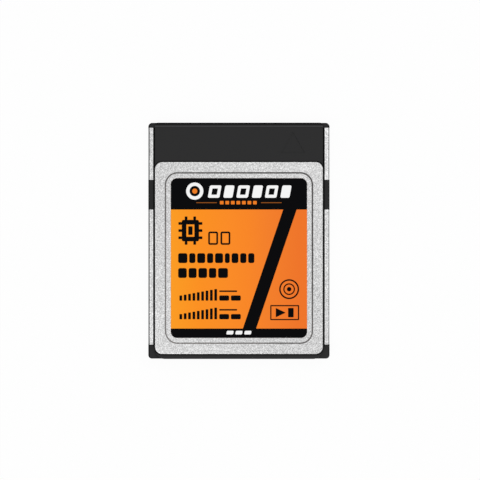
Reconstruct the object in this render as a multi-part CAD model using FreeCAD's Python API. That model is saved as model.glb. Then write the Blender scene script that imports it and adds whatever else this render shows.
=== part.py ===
import FreeCAD, Part
import math
import os

# A flat memory card that slides into a slot on its two side rails.
# Origin: middle of the back face. +Z up through the label, +Y towards the contact end, X across.
# All sizes are millimetres.

# Outside of the card
card_width = 29.6
card_length = 38.5
card_height = 3.8
front_corner_radius = 0.65
rear_corner_radius = 0.58
outer_edge_radius = 0.12

# Side rails and the raised block between them
rail_height = 3.0
rail_width = 0.87
block_drop = 0.1
groove_width = 0.24
groove_depth = 0.5
block_edge_radius = 0.12
block_front_radius = 0.5
front_bevel_length = 0.62
front_bevel_depth = 0.35

# Lengths along the rails, from the front end
front_corner_length = 0.81
front_flange_length = 8.49
tab_length = 4.86
rear_corner_length = 2.31

# Top cover
front_zone = 6.4
rear_border = 0.77
cover_gap = 0.12
cover_gap_depth = 0.25
cover_corner_radius = 1.2
top_sheet = 0.25
cover_edge_radius = 0.12
recess_margin = 1.8
recess_margin_ends = 1.87
recess_radius = 1.9
recess_depth = 0.18
recess_slope = 0.14
cover_tab_width = 3.0
cover_tab_depth = 0.8
cover_tab_inset = 0.25
cover_tab_pitch = 10.5
cover_tabs_per_side = 3

# Label
label_margin = 0.8
label_thickness = 0.1
label_radius = 1.0

# Bottom cover
bottom_sheet = 0.2
bottom_bend_radius = 0.2
bottom_corner_radius = 0.5
lip_gap = 0.05
hook_width = 3.0
hook_height = 0.45
hook_spread = 13.0

# Frame inside
side_wall = 1.9
rear_wall = 1.35
front_wall = 0.6
seat_width = 0.85
ledge_width = 0.55
ledge_thickness = 0.5
cavity_radius = 0.6
ledge_radius = 0.15
tunnel_floor = 0.65
peg_radius = 0.5
peg_setback = 4.5
peg_rise = 0.5

# Insertion mark engraved in front of the cover
mark_width = 3.9
mark_length = 3.4
mark_depth = 0.08
mark_offset = 8.8
mark_setback = 1.55

# Circuit board and what is soldered to it
board_thickness = 0.6
board_corner_radius = 0.4
pad_thickness = 0.25
component_zone = 11.5
tail_zone = 1.15
package_gap = 0.3
package_edge_gap = 0.55
package_chamfer = 0.12
package_corner_cut = 0.5
side_column = 8.3
controller_end_gap = 1.25
controller_cap_inset = 0.35
substrate_thickness = 0.25
buffer_width = 5.6
buffer_length = 6.2
power_side = 3.0
low_chip_drop = 0.24
inductor_width = 2.0
inductor_length = 2.5
inductor_drop = 0.13
crystal_width = 2.0
crystal_length = 1.6
crystal_height = 0.55
zone_margin = 0.7
row_gap = 0.8
column_gap = 0.7
chip_long = 1.0
chip_wide = 0.5
capacitor_height = 0.5
capacitor_columns = 5
capacitor_rows = 3
resistor_height = 0.35
bulk_long = 2.0
bulk_wide = 1.25
bulk_drop = 0.18
terminal_share = 0.25
terminal_step = 0.03

# Connector
contact_count = 20
contact_width = 0.36
contact_thickness = 0.15
contact_tail_length = 0.85
contact_beam_length = 2.5
contact_tip_length = 0.6
contact_reach = 0.3
ground_lead = 0.5
slot_height = 1.3
slot_end_space = 1.2
mouth_relief = 0.12
mouth_chamfer = 0.25
channel_depth = 0.28
channel_end_space = 0.15
roof_thickness = 0.7
housing_roof = 0.15
housing_side_wall = 1.29
housing_end_wall = 1.7
housing_rear_wall = 1.0
anchor_width = 1.0
anchor_grip = 0.9

# Clearances
sheet_clearance = 0.02
pocket_clearance = 0.04
board_clearance = 0.08
housing_clearance = 0.04
channel_clearance = 0.06
notch_clearance = 0.08
pad_inset = 0.25

# Distances that a cutting tool runs past an outer face and past an inner one
cut_past = 1.0
cut_overlap = 0.1

# Places that follow from the sizes above
half_width = card_width / 2
front_end = card_length / 2
rear_end = -card_length / 2
rail_inner = half_width - rail_width
block_half = rail_inner - groove_width
block_top = card_height - block_drop

front_flange_start = front_end - front_corner_length
front_flange_end = front_flange_start - front_flange_length
rear_flange_start = front_flange_end - tab_length
rear_flange_end = rear_end + rear_corner_length

cover_half = block_half
cover_front = front_end - front_zone
cover_rear = rear_end + rear_border
rim_underside = card_height - top_sheet
recess_floor = card_height - recess_depth
web_underside = recess_floor - top_sheet
recess_half = cover_half - recess_margin
recess_front = cover_front - recess_margin_ends
recess_rear = cover_rear + recess_margin_ends
label_half = recess_half - label_margin
label_front = recess_front - label_margin
label_rear = recess_rear + label_margin

cavity_half = half_width - side_wall
cavity_rear = rear_end + rear_wall
cavity_front = cover_front - seat_width
tunnel_end = front_end - front_wall
tunnel_ceiling = block_top - roof_thickness
tunnel_base = bottom_sheet + tunnel_floor
package_height = (web_underside - bottom_sheet - board_thickness) / 2 - pad_thickness
board_bottom = bottom_sheet + pad_thickness + package_height
board_top = board_bottom + board_thickness
board_half = cavity_half - board_clearance
board_rear = cavity_rear + board_clearance
board_front = cavity_front + tail_zone + column_gap / 2
peg_y = cavity_front - peg_setback

package_rear = board_rear + package_edge_gap
package_front = board_front - tail_zone - component_zone
package_outer = board_half - package_edge_gap
controller_half = board_half - side_column
controller_rear = package_front + controller_end_gap
controller_front = package_front + component_zone - controller_end_gap
low_chip_height = package_height - low_chip_drop
zone_rear = package_front + zone_margin
zone_front = board_front - tail_zone - zone_margin

housing_rear = board_front + board_clearance
housing_front = tunnel_end - housing_clearance
housing_base = tunnel_base + housing_clearance
housing_top = tunnel_ceiling - housing_clearance
housing_half = block_half - housing_side_wall
slot_half = housing_half - housing_end_wall
contact_pitch = 2 * (slot_half - slot_end_space) / (contact_count - 1)
slot_ceiling = housing_top - housing_roof - channel_depth
slot_floor = slot_ceiling - slot_height
slot_back = housing_rear + housing_rear_wall
tunnel_half = housing_half + housing_clearance
contact_level = slot_ceiling + contact_thickness / 2 + channel_clearance
tail_level = board_top + contact_thickness / 2


def vector(x, y, z):
    """Return a point or direction."""
    return FreeCAD.Vector(x, y, z)


def block(x0, x1, y0, y1, z0, z1):
    """Return a box between two corners."""
    return Part.makeBox(x1 - x0, y1 - y0, z1 - z0, vector(x0, y0, z0))


def rounded_block(x0, x1, y0, y1, z0, z1, front_radius, rear_radius=None):
    """Return a box with rounded upright edges, the front pair and the rear pair each with a radius."""
    rear = front_radius if rear_radius is None else rear_radius
    body = block(x0, x1, y0, y1, z0, z1)
    middle = (y0 + y1) / 2
    upright = [e for e in body.Edges if abs(e.tangentAt(e.FirstParameter).z) > 0.9]
    body = body.makeFillet(front_radius, [e for e in upright if e.CenterOfMass.y > middle])
    upright = [e for e in body.Edges if is_upright_line(e) and e.CenterOfMass.y < middle]
    corners = [e for e in upright if abs(e.CenterOfMass.y - y0) < 1e-6]
    return body.makeFillet(rear, corners)


def is_upright_line(edge):
    """Tell whether an edge is a straight line along Z."""
    if not isinstance(edge.Curve, Part.Line):
        return False
    return abs(edge.tangentAt(edge.FirstParameter).z) > 0.9


def mirrored(shape):
    """Return the shape on the other side of the card."""
    return shape.mirror(vector(0, 0, 0), vector(1, 0, 0))


def both_sides(shape):
    """Return the shape and its mirror image."""
    return [shape, mirrored(shape)]


def joined(shapes):
    """Return one solid made of shapes that overlap or meet."""
    return shapes[0].fuse(shapes[1:]).removeSplitter()


def rim_edges(shape, level):
    """Return the edges of a shape that lie flat at one height."""
    return [e for e in shape.Edges
            if abs(e.BoundBox.ZMin - level) < 1e-6 and abs(e.BoundBox.ZMax - level) < 1e-6]


def left_normal(direction):
    """Return the direction turned a quarter to the left in its plane."""
    return (-direction[1], direction[0])


def unit(start, end):
    """Return the unit direction from one plane point to another."""
    length = math.hypot(end[0] - start[0], end[1] - start[1])
    return ((end[0] - start[0]) / length, (end[1] - start[1]) / length)


def shifted(point, direction, distance):
    """Return a plane point moved along a direction."""
    return (point[0] + direction[0] * distance, point[1] + direction[1] * distance)


def side_line(points, radius, offset, place):
    """Return the edges of one side of a bent strip: straight runs with a round bend at each corner."""
    edges = []
    last = shifted(points[0], left_normal(unit(points[0], points[1])), offset)
    for before, corner, after in zip(points, points[1:], points[2:]):
        arriving = unit(before, corner)
        leaving = unit(corner, after)
        cross = arriving[0] * leaving[1] - arriving[1] * leaving[0]
        dot = arriving[0] * leaving[0] + arriving[1] * leaving[1]
        turn = math.atan2(cross, dot)
        side = math.copysign(1, turn)
        tangent = radius * math.tan(abs(turn) / 2)
        start = shifted(corner, arriving, -tangent)
        centre = shifted(start, left_normal(arriving), side * radius)
        towards = unit(centre, corner)
        bend = radius - side * offset
        arc_start = shifted(start, left_normal(arriving), offset)
        arc_end = shifted(shifted(corner, leaving, tangent), left_normal(leaving), offset)
        arc_middle = shifted(centre, towards, bend)
        edges.append(Part.LineSegment(place(last), place(arc_start)).toShape())
        edges.append(Part.Arc(place(arc_start), place(arc_middle), place(arc_end)).toShape())
        last = arc_end
    final = shifted(points[-1], left_normal(unit(points[-2], points[-1])), offset)
    edges.append(Part.LineSegment(place(last), place(final)).toShape())
    return edges, place(final)


def bent_strip(points, radius, thickness, place, sweep):
    """Return a folded strip: a centre line of plane points, thickened and drawn out along sweep."""
    first, first_end = side_line(points, radius, thickness / 2, place)
    second, second_end = side_line(points, radius, -thickness / 2, place)
    start_cap = Part.LineSegment(first[0].valueAt(first[0].FirstParameter),
                                 second[0].valueAt(second[0].FirstParameter)).toShape()
    end_cap = Part.LineSegment(first_end, second_end).toShape()
    outline = Part.Wire(Part.__sortEdges__(first + second + [start_cap, end_cap]))
    return Part.Face(outline).extrude(sweep)


def folded_strip(points, thickness, place, sweep):
    """Return a strip with sharp folds: a centre line of plane points, thickened and drawn out along sweep."""
    normals = [left_normal(unit(start, end)) for start, end in zip(points, points[1:])]
    upper, lower = [], []
    for point, before, after in zip(points, normals[:1] + normals, normals + normals[-1:]):
        share = thickness / 2 / (1 + before[0] * after[0] + before[1] * after[1])
        fold = (before[0] + after[0], before[1] + after[1])
        upper.append(place(shifted(point, fold, share)))
        lower.append(place(shifted(point, fold, -share)))
    return Part.Face(Part.makePolygon(upper + lower[::-1] + upper[:1])).extrude(sweep)


def rails_and_block():
    """Return the frame's outer form: rails at their own height and the raised block between them."""
    rails = rounded_block(-half_width, half_width, rear_end, front_end, 0, rail_height,
                          front_corner_radius, rear_corner_radius)
    rails = rails.makeFillet(outer_edge_radius, rim_edges(rails, rail_height))
    rails = rails.makeChamfer(outer_edge_radius, rim_edges(rails, 0))
    raised = rounded_block(-block_half, block_half, rear_end, front_end, bottom_sheet, block_top,
                           block_front_radius, cover_corner_radius + rail_width / 2)
    raised = raised.makeFillet(block_edge_radius, rim_edges(raised, block_top))
    return joined([rails, raised.cut(front_bevel())])


def front_bevel():
    """Return the wedge that slopes the front edge of the raised block."""
    wedge = Part.makePolygon([
        vector(-half_width, front_end - front_bevel_length, block_top),
        vector(-half_width, front_end + front_bevel_length, block_top - 2 * front_bevel_depth),
        vector(-half_width, front_end + front_bevel_length, block_top + cut_past),
        vector(-half_width, front_end - front_bevel_length, block_top + cut_past),
        vector(-half_width, front_end - front_bevel_length, block_top)])
    return Part.Face(wedge).extrude(vector(card_width, 0, 0))


def flange_spans():
    """Return the two stretches of rail, rear end first, that the bottom cover wraps."""
    return [(rear_flange_end, rear_flange_start), (front_flange_end, front_flange_start)]


def rail_core(span):
    """Return the cut that frees one stretch of rail for a flange, and the core left inside it."""
    start, end = span
    space = block(rail_inner, half_width + cut_past, start, end, -cut_past, rail_height + cut_past)
    core_side = half_width - bottom_sheet - sheet_clearance
    core_top = rail_height - bottom_sheet - sheet_clearance
    core = block(cavity_half, core_side, start, end, bottom_sheet, core_top)
    long_edges = [e for e in core.Edges
                  if abs(e.CenterOfMass.x - core_side) < 1e-6
                  and abs(e.tangentAt(e.FirstParameter).y) > 0.9]
    return space, core.makeFillet(bottom_bend_radius, long_edges)


def floor_outline(grow, z0, z1):
    """Return the flat of the bottom cover as a solid, grown by a clearance all round."""
    panel = rounded_block(-rail_inner - grow, rail_inner + grow, cover_rear - grow,
                          front_flange_start + grow, z0, z1, bottom_corner_radius)
    wings = [block(-half_width - cut_past, half_width + cut_past, start - grow, end + grow, z0, z1)
             for start, end in flange_spans()]
    return joined([panel] + wings)


def frame_cavity():
    """Return the spaces inside the frame: a stepped well for the board and a tunnel for the connector."""
    upper = rounded_block(-cavity_half, cavity_half, cavity_rear, cavity_front,
                          board_bottom, block_top + cut_past, cavity_radius)
    lower = rounded_block(-cavity_half + ledge_width, cavity_half - ledge_width,
                          cavity_rear + ledge_thickness, cavity_front, 0,
                          board_bottom + cut_overlap, ledge_radius)
    under_roof = block(-cavity_half, cavity_half, cavity_front - cavity_radius - cut_overlap,
                       board_front + board_clearance, board_bottom, tunnel_ceiling)
    board_floor = block(-tunnel_half, tunnel_half, cavity_front - cavity_radius - cut_overlap,
                        board_front + board_clearance, tunnel_base, tunnel_ceiling)
    tunnel = block(-tunnel_half, tunnel_half, board_front, tunnel_end, tunnel_base, tunnel_ceiling)
    return joined([upper, lower, under_roof, board_floor, tunnel])


def mouth():
    """Return the slot mouth through the front wall, with a sloped lead-in."""
    half = slot_half + mouth_relief
    low = slot_floor - mouth_relief
    high = slot_ceiling + mouth_relief
    hole = block(-half, half, tunnel_end - cut_overlap, front_end + cut_overlap, low, high)
    inner = mouth_section(half, low, high, front_end - mouth_chamfer)
    outer = mouth_section(half + mouth_chamfer, low - mouth_chamfer, high + mouth_chamfer, front_end)
    return joined([hole, Part.makeLoft([inner, outer], True, True)])


def mouth_section(half, low, high, y):
    """Return the mouth's rectangle at one depth."""
    return Part.makePolygon([vector(-half, y, low), vector(half, y, low), vector(half, y, high),
                             vector(-half, y, high), vector(-half, y, low)])


def insertion_mark():
    """Return the engraved triangle that points to the contact end."""
    tip = front_end - mark_setback
    base = tip - mark_length
    triangle = Part.makePolygon([
        vector(mark_offset - mark_width / 2, base, block_top - mark_depth),
        vector(mark_offset + mark_width / 2, base, block_top - mark_depth),
        vector(mark_offset, tip, block_top - mark_depth),
        vector(mark_offset - mark_width / 2, base, block_top - mark_depth)])
    return Part.Face(triangle).extrude(vector(0, 0, cut_past))


def cover_outline(grow, z0, z1):
    """Return the top cover's outline as a solid, grown by a clearance all round."""
    return rounded_block(-cover_half - grow, cover_half + grow, cover_rear - grow, cover_front + grow,
                         z0, z1, cover_corner_radius + grow)


def cover_seat():
    """Return the pocket, open at both sides, that the top cover lies in, with a deep gap round its rim."""
    seat = cover_outline(cover_gap, rim_underside, card_height + cut_past)
    gap = cover_outline(cover_gap, rim_underside - cover_gap_depth, rim_underside + cut_overlap)
    gap = gap.cut(cover_outline(0, rim_underside - cover_gap_depth, rim_underside + cut_overlap))
    return joined([seat, gap])


def side_groove():
    """Return the narrow groove on the +X side between the raised block and its rail."""
    return block(block_half, rail_inner, cover_rear + cover_corner_radius, front_flange_start,
                 rail_height - groove_depth, rail_height + cut_past)


def tab_places():
    """Return the middle of each locating tab along the top cover's side."""
    middle = (cover_front + cover_rear) / 2
    first = middle - cover_tab_pitch * (cover_tabs_per_side - 1) / 2
    return [first + cover_tab_pitch * i for i in range(cover_tabs_per_side)]


def cover_tab(y, grow, top):
    """Return one locating tab on the +X side, or its pocket when grown."""
    outer = cover_half - cover_tab_inset
    return block(outer - top_sheet - grow, outer + grow, y - cover_tab_width / 2 - grow,
                 y + cover_tab_width / 2 + grow, rim_underside - cover_tab_depth - grow, top)


def hook_places():
    """Return the centre of each retaining hook of the bottom cover and which way it faces along Y."""
    return [(x, y, facing) for x in (-hook_spread / 2, hook_spread / 2)
            for y, facing in ((cover_rear, 1), (front_flange_start, -1))]


def hook(place, grow, base):
    """Return one hook turned up from the bottom cover's end, or its pocket when grown."""
    x, y, facing = place
    inner = y + facing * bottom_sheet
    low, high = min(y, inner), max(y, inner)
    return block(x - hook_width / 2 - grow, x + hook_width / 2 + grow, low - grow, high + grow,
                 base, bottom_sheet + hook_height + grow)


def board_peg(radius):
    """Return the upright peg on the +X wall that locates the board, or its notch when larger."""
    return Part.makeCylinder(radius, board_thickness + peg_rise, vector(cavity_half, peg_y, board_bottom))


def frame():
    """Return the black moulding that carries everything else."""
    body = rails_and_block()
    for span in flange_spans():
        space, core = rail_core(span)
        body = body.cut([space, mirrored(space)])
        body = joined([body, core, mirrored(core)])
    body = body.cut(floor_outline(pocket_clearance, -cut_past, bottom_sheet))
    body = body.cut(both_sides(side_groove()))
    body = body.cut(frame_cavity())
    body = body.cut([cover_seat(), mouth(), insertion_mark()])
    for y in tab_places():
        body = body.cut(both_sides(cover_tab(y, pocket_clearance, rim_underside + cut_past)))
    body = body.cut([hook(place, pocket_clearance, 0) for place in hook_places()])
    peg = board_peg(peg_radius)
    return joined([body, peg, mirrored(peg)])


def top_cover():
    """Return the pressed sheet that closes the label side, with its sunk field and locating tabs."""
    plate = cover_outline(0, rim_underside, card_height)
    plate = plate.makeFillet(cover_edge_radius, rim_edges(plate, card_height))
    field = rounded_block(-recess_half, recess_half, recess_rear, recess_front, web_underside,
                          card_height, recess_radius)
    plate = plate.cut(field)
    inner = [e for e in rim_edges(plate, card_height)
             if abs(e.CenterOfMass.x) < recess_half + cut_overlap
             and recess_rear - cut_overlap < e.CenterOfMass.y < recess_front + cut_overlap]
    plate = plate.makeChamfer(recess_slope, inner)
    web = rounded_block(-recess_half - top_sheet, recess_half + top_sheet, recess_rear - top_sheet,
                        recess_front + top_sheet, web_underside, recess_floor, recess_radius + top_sheet)
    tabs = []
    for y in tab_places():
        tabs += both_sides(cover_tab(y, 0, rim_underside + top_sheet / 2))
    return joined([plate, web] + tabs)


def label():
    """Return the printed sheet stuck in the sunk field."""
    return rounded_block(-label_half, label_half, label_rear, label_front, recess_floor,
                         recess_floor + label_thickness, label_radius)


def bottom_cover():
    """Return the folded sheet: a flat back, four C-shaped flanges round the rails and end hooks."""
    flat = rounded_block(-rail_inner, rail_inner, cover_rear, front_flange_start, 0, bottom_sheet,
                         bottom_corner_radius)
    centre = bottom_sheet / 2
    path = [(rail_inner - rail_width, centre), (half_width - centre, centre),
            (half_width - centre, rail_height - centre),
            (rail_inner + lip_gap, rail_height - centre)]
    pieces = [flat]
    for start, end in flange_spans():
        flange = bent_strip(path, bottom_bend_radius, bottom_sheet,
                            lambda p, y=start: vector(p[0], y, p[1]), vector(0, end - start, 0))
        pieces += both_sides(flange)
    pieces += [hook(place, 0, 0) for place in hook_places()]
    return joined(pieces)


def circuit_board():
    """Return the board with a notch at each side for the frame's pegs."""
    board = rounded_block(-board_half, board_half, board_rear, board_front, board_bottom, board_top,
                          board_corner_radius)
    notch = board_peg(peg_radius + notch_clearance)
    return board.cut(both_sides(notch))


def moulded_package(x0, x1, y0, y1, face, height, up):
    """Return a flat package with sloped top edges and one cut corner, standing on a board face."""
    base, top = (face, face + height) if up else (face - height, face)
    body = block(x0, x1, y0, y1, base, top)
    first_corner = [e for e in body.Edges
                    if is_upright_line(e) and abs(e.CenterOfMass.x - x0) + abs(e.CenterOfMass.y - y0) < 1e-6]
    body = body.makeChamfer(package_corner_cut, first_corner)
    return body.makeChamfer(package_chamfer, rim_edges(body, top if up else base))


def memory_package(side, up):
    """Return one memory package: side is -1 or 1 across the board, up tells which face it is on."""
    inner = package_gap / 2
    x0, x1 = (inner, package_outer) if side > 0 else (-package_outer, -inner)
    face = board_top if up else board_bottom
    return moulded_package(x0, x1, package_rear, package_front, face, package_height, up)


def controller_chip():
    """Return the controller: a thin substrate with a smaller moulded cap."""
    base = block(-controller_half, controller_half, controller_rear, controller_front,
                 board_top, board_top + substrate_thickness)
    cap = controller_half - controller_cap_inset
    top = moulded_package(-cap, cap, controller_rear + controller_cap_inset,
                          controller_front - controller_cap_inset, board_top, package_height, True)
    return joined([base, top])


def buffer_chip():
    """Return the buffer memory beside the controller."""
    outer = board_half - zone_margin
    return moulded_package(outer - buffer_width, outer, zone_rear, zone_rear + buffer_length,
                           board_top, low_chip_height, True)


def power_chip():
    """Return the power regulator on the other side of the controller."""
    inner = -board_half + zone_margin + inductor_width + column_gap
    return moulded_package(inner, inner + power_side, zone_rear, zone_rear + power_side,
                           board_top, low_chip_height, True)


def two_ended(x, y, long, wide, height, face, up, along_x):
    """Return a small part with a slightly larger metal terminal at each end."""
    spread_x, spread_y = (long, wide) if along_x else (wide, long)
    base = face if up else face - height
    body = block(x - spread_x / 2 + terminal_step, x + spread_x / 2 - terminal_step,
                 y - spread_y / 2 + terminal_step, y + spread_y / 2 - terminal_step,
                 base, base + height - (terminal_step if up else 0))
    if not up:
        body.translate(vector(0, 0, terminal_step))
        body = body.common(block(x - spread_x, x + spread_x, y - spread_y, y + spread_y,
                                 base + terminal_step, base + height))
    depth = long * terminal_share
    ends = []
    for end in (-1, 1):
        centre = end * (long - depth) / 2
        end_x, end_y = (x + centre, y) if along_x else (x, y + centre)
        half_x, half_y = (depth / 2, wide / 2) if along_x else (wide / 2, depth / 2)
        ends.append(block(end_x - half_x, end_x + half_x, end_y - half_y, end_y + half_y,
                          base, base + height))
    return joined([body] + ends)


def power_inductors():
    """Return the two coils of the regulator, beside it along the board's edge."""
    x = -board_half + zone_margin + inductor_width / 2
    first = zone_rear + inductor_length / 2
    return Part.Compound([
        two_ended(x, first + i * (inductor_length + row_gap), inductor_length, inductor_width,
                  package_height - inductor_drop, board_top, True, False) for i in range(2)])


def crystal():
    """Return the clock crystal: a ceramic tray with a metal lid."""
    x1 = board_half - zone_margin
    y1 = zone_front
    tray = block(x1 - crystal_width, x1, y1 - crystal_length, y1, board_top, board_top + crystal_height / 2)
    rim = crystal_height / 4
    lid = block(x1 - crystal_width + rim, x1 - rim, y1 - crystal_length + rim, y1 - rim,
                board_top, board_top + crystal_height)
    return joined([tray, lid])


def bulk_capacitors():
    """Return the large capacitors in a row in front of the power chip."""
    x = -board_half + zone_margin + inductor_width + column_gap + bulk_wide / 2
    return Part.Compound([
        two_ended(x + i * (bulk_wide + column_gap / 2), zone_front - bulk_long / 2, bulk_long, bulk_wide,
                  package_height - bulk_drop, board_top, True, False) for i in range(2)])


def capacitors():
    """Return the small capacitors: a grid under the controller and a short column beside the coils."""
    reach_x = board_half - side_column / 2
    first_y = controller_rear + chip_wide / 2
    step_x = 2 * reach_x / (capacitor_columns - 1)
    step_y = (controller_front - controller_rear - chip_wide) / (capacitor_rows - 1)
    parts = [two_ended(step_x * column - reach_x, first_y + step_y * row, chip_long, chip_wide,
                       capacitor_height, board_bottom, False, True)
             for column in range(capacitor_columns) for row in range(capacitor_rows)]
    x = -board_half + zone_margin + chip_long / 2
    parts += [two_ended(x, zone_front - chip_wide / 2 - 3 * chip_wide * row, chip_long, chip_wide,
                        capacitor_height, board_top, True, True) for row in range(2)]
    return Part.Compound(parts)


def resistors():
    """Return the small resistors in two columns beside the crystal."""
    x = board_half - zone_margin - crystal_width - column_gap - chip_long / 2
    step_x = chip_long + column_gap
    step_y = 2 * chip_wide
    return Part.Compound([
        two_ended(x - step_x * column, zone_front - chip_wide / 2 - step_y * row, chip_long, chip_wide,
                  resistor_height, board_top, True, True) for column in range(2) for row in range(2)])


def contact_places():
    """Return the place across the card of every contact and whether it is a ground contact."""
    first = slot_end_space - slot_half
    return [(first + i * contact_pitch, i % 3 == 0) for i in range(contact_count)]


def contact_path(lead):
    """Return a spring contact's centre line: solder tail, rise, beam dipping into the slot and tip."""
    tail_start = housing_rear - board_clearance - contact_tail_length
    rise_start = tail_start + contact_tail_length * 0.55
    beam_start = slot_back
    bump = beam_start + contact_beam_length + lead
    dip = contact_level - contact_reach
    return [(tail_start, tail_level), (rise_start, tail_level), (housing_rear, contact_level),
            (beam_start, contact_level), (bump, dip), (bump + contact_tip_length, contact_level)]


def contact(x, lead):
    """Return one spring contact."""
    half = contact_width / 2
    return folded_strip(contact_path(lead), contact_thickness,
                        lambda p: vector(x - half, p[0], p[1]), vector(contact_width, 0, 0))


def signal_contacts():
    """Return the spring contacts that meet last."""
    return Part.Compound([contact(x, 0) for x, is_ground in contact_places() if not is_ground])


def ground_contacts():
    """Return the spring contacts that reach further forward and meet first."""
    return Part.Compound([contact(x, ground_lead) for x, is_ground in contact_places() if is_ground])


def connector_housing():
    """Return the connector's moulding: the slot, a channel for each contact and pockets for the straps."""
    body = block(-housing_half, housing_half, housing_rear, housing_front, housing_base, housing_top)
    slot = block(-slot_half, slot_half, slot_back, housing_front + cut_overlap, slot_floor, slot_ceiling)
    body = body.cut(slot)
    half = contact_width / 2 + channel_clearance
    channel_end = slot_back + contact_beam_length + ground_lead + contact_tip_length + channel_end_space
    for x, _ in contact_places():
        channel = block(x - half, x + half, slot_back - cut_overlap, channel_end,
                        slot_ceiling - cut_overlap, slot_ceiling + channel_depth)
        passage = block(x - half, x + half, housing_rear - cut_overlap, slot_back,
                        slot_ceiling, slot_ceiling + contact_thickness + 2 * channel_clearance)
        body = body.cut([channel, passage])
    return body.cut(both_sides(anchor_pocket()))


def anchor_middle():
    """Return the place across the card of the solder strap on the +X side."""
    return slot_half + housing_end_wall / 2


def anchor_pocket():
    """Return the pocket in the housing's rear face that grips a solder strap."""
    half = anchor_width / 2 + channel_clearance
    low = contact_level - contact_thickness / 2 - channel_clearance
    return block(anchor_middle() - half, anchor_middle() + half, housing_rear - cut_overlap,
                 housing_rear + anchor_grip + channel_clearance,
                 low, low + contact_thickness + 2 * channel_clearance)


def connector_anchors():
    """Return the two solder straps that hold the housing to the board."""
    path = contact_path(0)[:3] + [(housing_rear + anchor_grip, contact_level)]
    start = anchor_middle() - anchor_width / 2
    strap = folded_strip(path, contact_thickness,
                         lambda p: vector(start, p[0], p[1]), vector(anchor_width, 0, 0))
    return Part.Compound(both_sides(strap))


def thermal_pad_top():
    """Return the pad from the upper packages and the controller to the top cover."""
    return rounded_block(-recess_half + pad_inset, recess_half - pad_inset, recess_rear + pad_inset,
                         controller_front - controller_cap_inset, web_underside - pad_thickness,
                         web_underside, pad_inset)


def thermal_pad_bottom():
    """Return the pad from the lower packages to the bottom cover."""
    return rounded_block(-package_outer + pad_inset, package_outer - pad_inset, package_rear + pad_inset,
                         package_front - pad_inset, bottom_sheet, bottom_sheet + pad_thickness, pad_inset)


def pieces():
    """Return every piece of the card by name."""
    return {
        "frame": frame(),
        "top_cover": top_cover(),
        "bottom_cover": bottom_cover(),
        "label": label(),
        "circuit_board": circuit_board(),
        "memory_package_1": memory_package(-1, True),
        "memory_package_2": memory_package(1, True),
        "memory_package_3": memory_package(-1, False),
        "memory_package_4": memory_package(1, False),
        "controller_chip": controller_chip(),
        "buffer_chip": buffer_chip(),
        "power_chip": power_chip(),
        "power_inductors": power_inductors(),
        "crystal": crystal(),
        "bulk_capacitors": bulk_capacitors(),
        "capacitors": capacitors(),
        "resistors": resistors(),
        "connector_housing": connector_housing(),
        "signal_contacts": signal_contacts(),
        "ground_contacts": ground_contacts(),
        "connector_anchors": connector_anchors(),
        "thermal_pad_top": thermal_pad_top(),
        "thermal_pad_bottom": thermal_pad_bottom(),
    }


os.makedirs("parts", exist_ok=True)
for name, shape in pieces().items():
    shape.exportStep(f"parts/{name}.step")
    print(name, len(shape.Solids), round(shape.Volume, 3), shape.isValid())
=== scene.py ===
"""Looks of a flat memory card: its moulded, pressed and printed finishes, its label and its studio."""

import logging
import math
from dataclasses import dataclass, field
from enum import Enum
from typing import Any, Optional, Sequence, Union

import bmesh
import bpy
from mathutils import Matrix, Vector


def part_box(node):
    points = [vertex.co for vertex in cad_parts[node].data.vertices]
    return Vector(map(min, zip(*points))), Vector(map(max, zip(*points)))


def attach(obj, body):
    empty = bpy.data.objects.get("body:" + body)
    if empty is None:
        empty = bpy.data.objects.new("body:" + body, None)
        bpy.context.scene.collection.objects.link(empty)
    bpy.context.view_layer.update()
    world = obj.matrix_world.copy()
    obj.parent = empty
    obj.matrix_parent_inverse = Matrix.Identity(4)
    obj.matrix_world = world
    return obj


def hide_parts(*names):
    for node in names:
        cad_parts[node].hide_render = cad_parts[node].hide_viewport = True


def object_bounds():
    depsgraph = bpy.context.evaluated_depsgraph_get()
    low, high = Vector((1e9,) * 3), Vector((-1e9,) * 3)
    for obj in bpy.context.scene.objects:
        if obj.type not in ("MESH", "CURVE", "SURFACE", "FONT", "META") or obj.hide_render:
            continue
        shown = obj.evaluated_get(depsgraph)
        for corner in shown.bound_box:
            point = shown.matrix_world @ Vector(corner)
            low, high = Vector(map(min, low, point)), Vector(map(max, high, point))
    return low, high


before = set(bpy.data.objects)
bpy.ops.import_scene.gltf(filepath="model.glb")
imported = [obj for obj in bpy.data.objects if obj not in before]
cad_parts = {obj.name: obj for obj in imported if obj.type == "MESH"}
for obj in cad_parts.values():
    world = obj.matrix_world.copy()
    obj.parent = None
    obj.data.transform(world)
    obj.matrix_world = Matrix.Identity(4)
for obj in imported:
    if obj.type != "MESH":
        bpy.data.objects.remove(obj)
cad_low, cad_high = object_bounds()

LOG = logging.getLogger("memory_card")
MM = 0.001
BODY = "root"
Point = tuple[float, float]
Span = tuple[float, float]
Colour = tuple[float, float, float]
Value = Union[float, "Expr"]


def srgb(red: int, green: int, blue: int) -> Colour:
    """Return a linear colour from screen values.

    Args:
        red: Screen value from 0 to 255.
        green: Screen value from 0 to 255.
        blue: Screen value from 0 to 255.

    Returns:
        The colour in linear light.
    """
    def channel(level: int) -> float:
        """Return one channel in linear light."""
        share = level / 255
        return share / 12.92 if share <= 0.04045 else ((share + 0.055) / 1.055) ** 2.4
    return (channel(red), channel(green), channel(blue))


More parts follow.
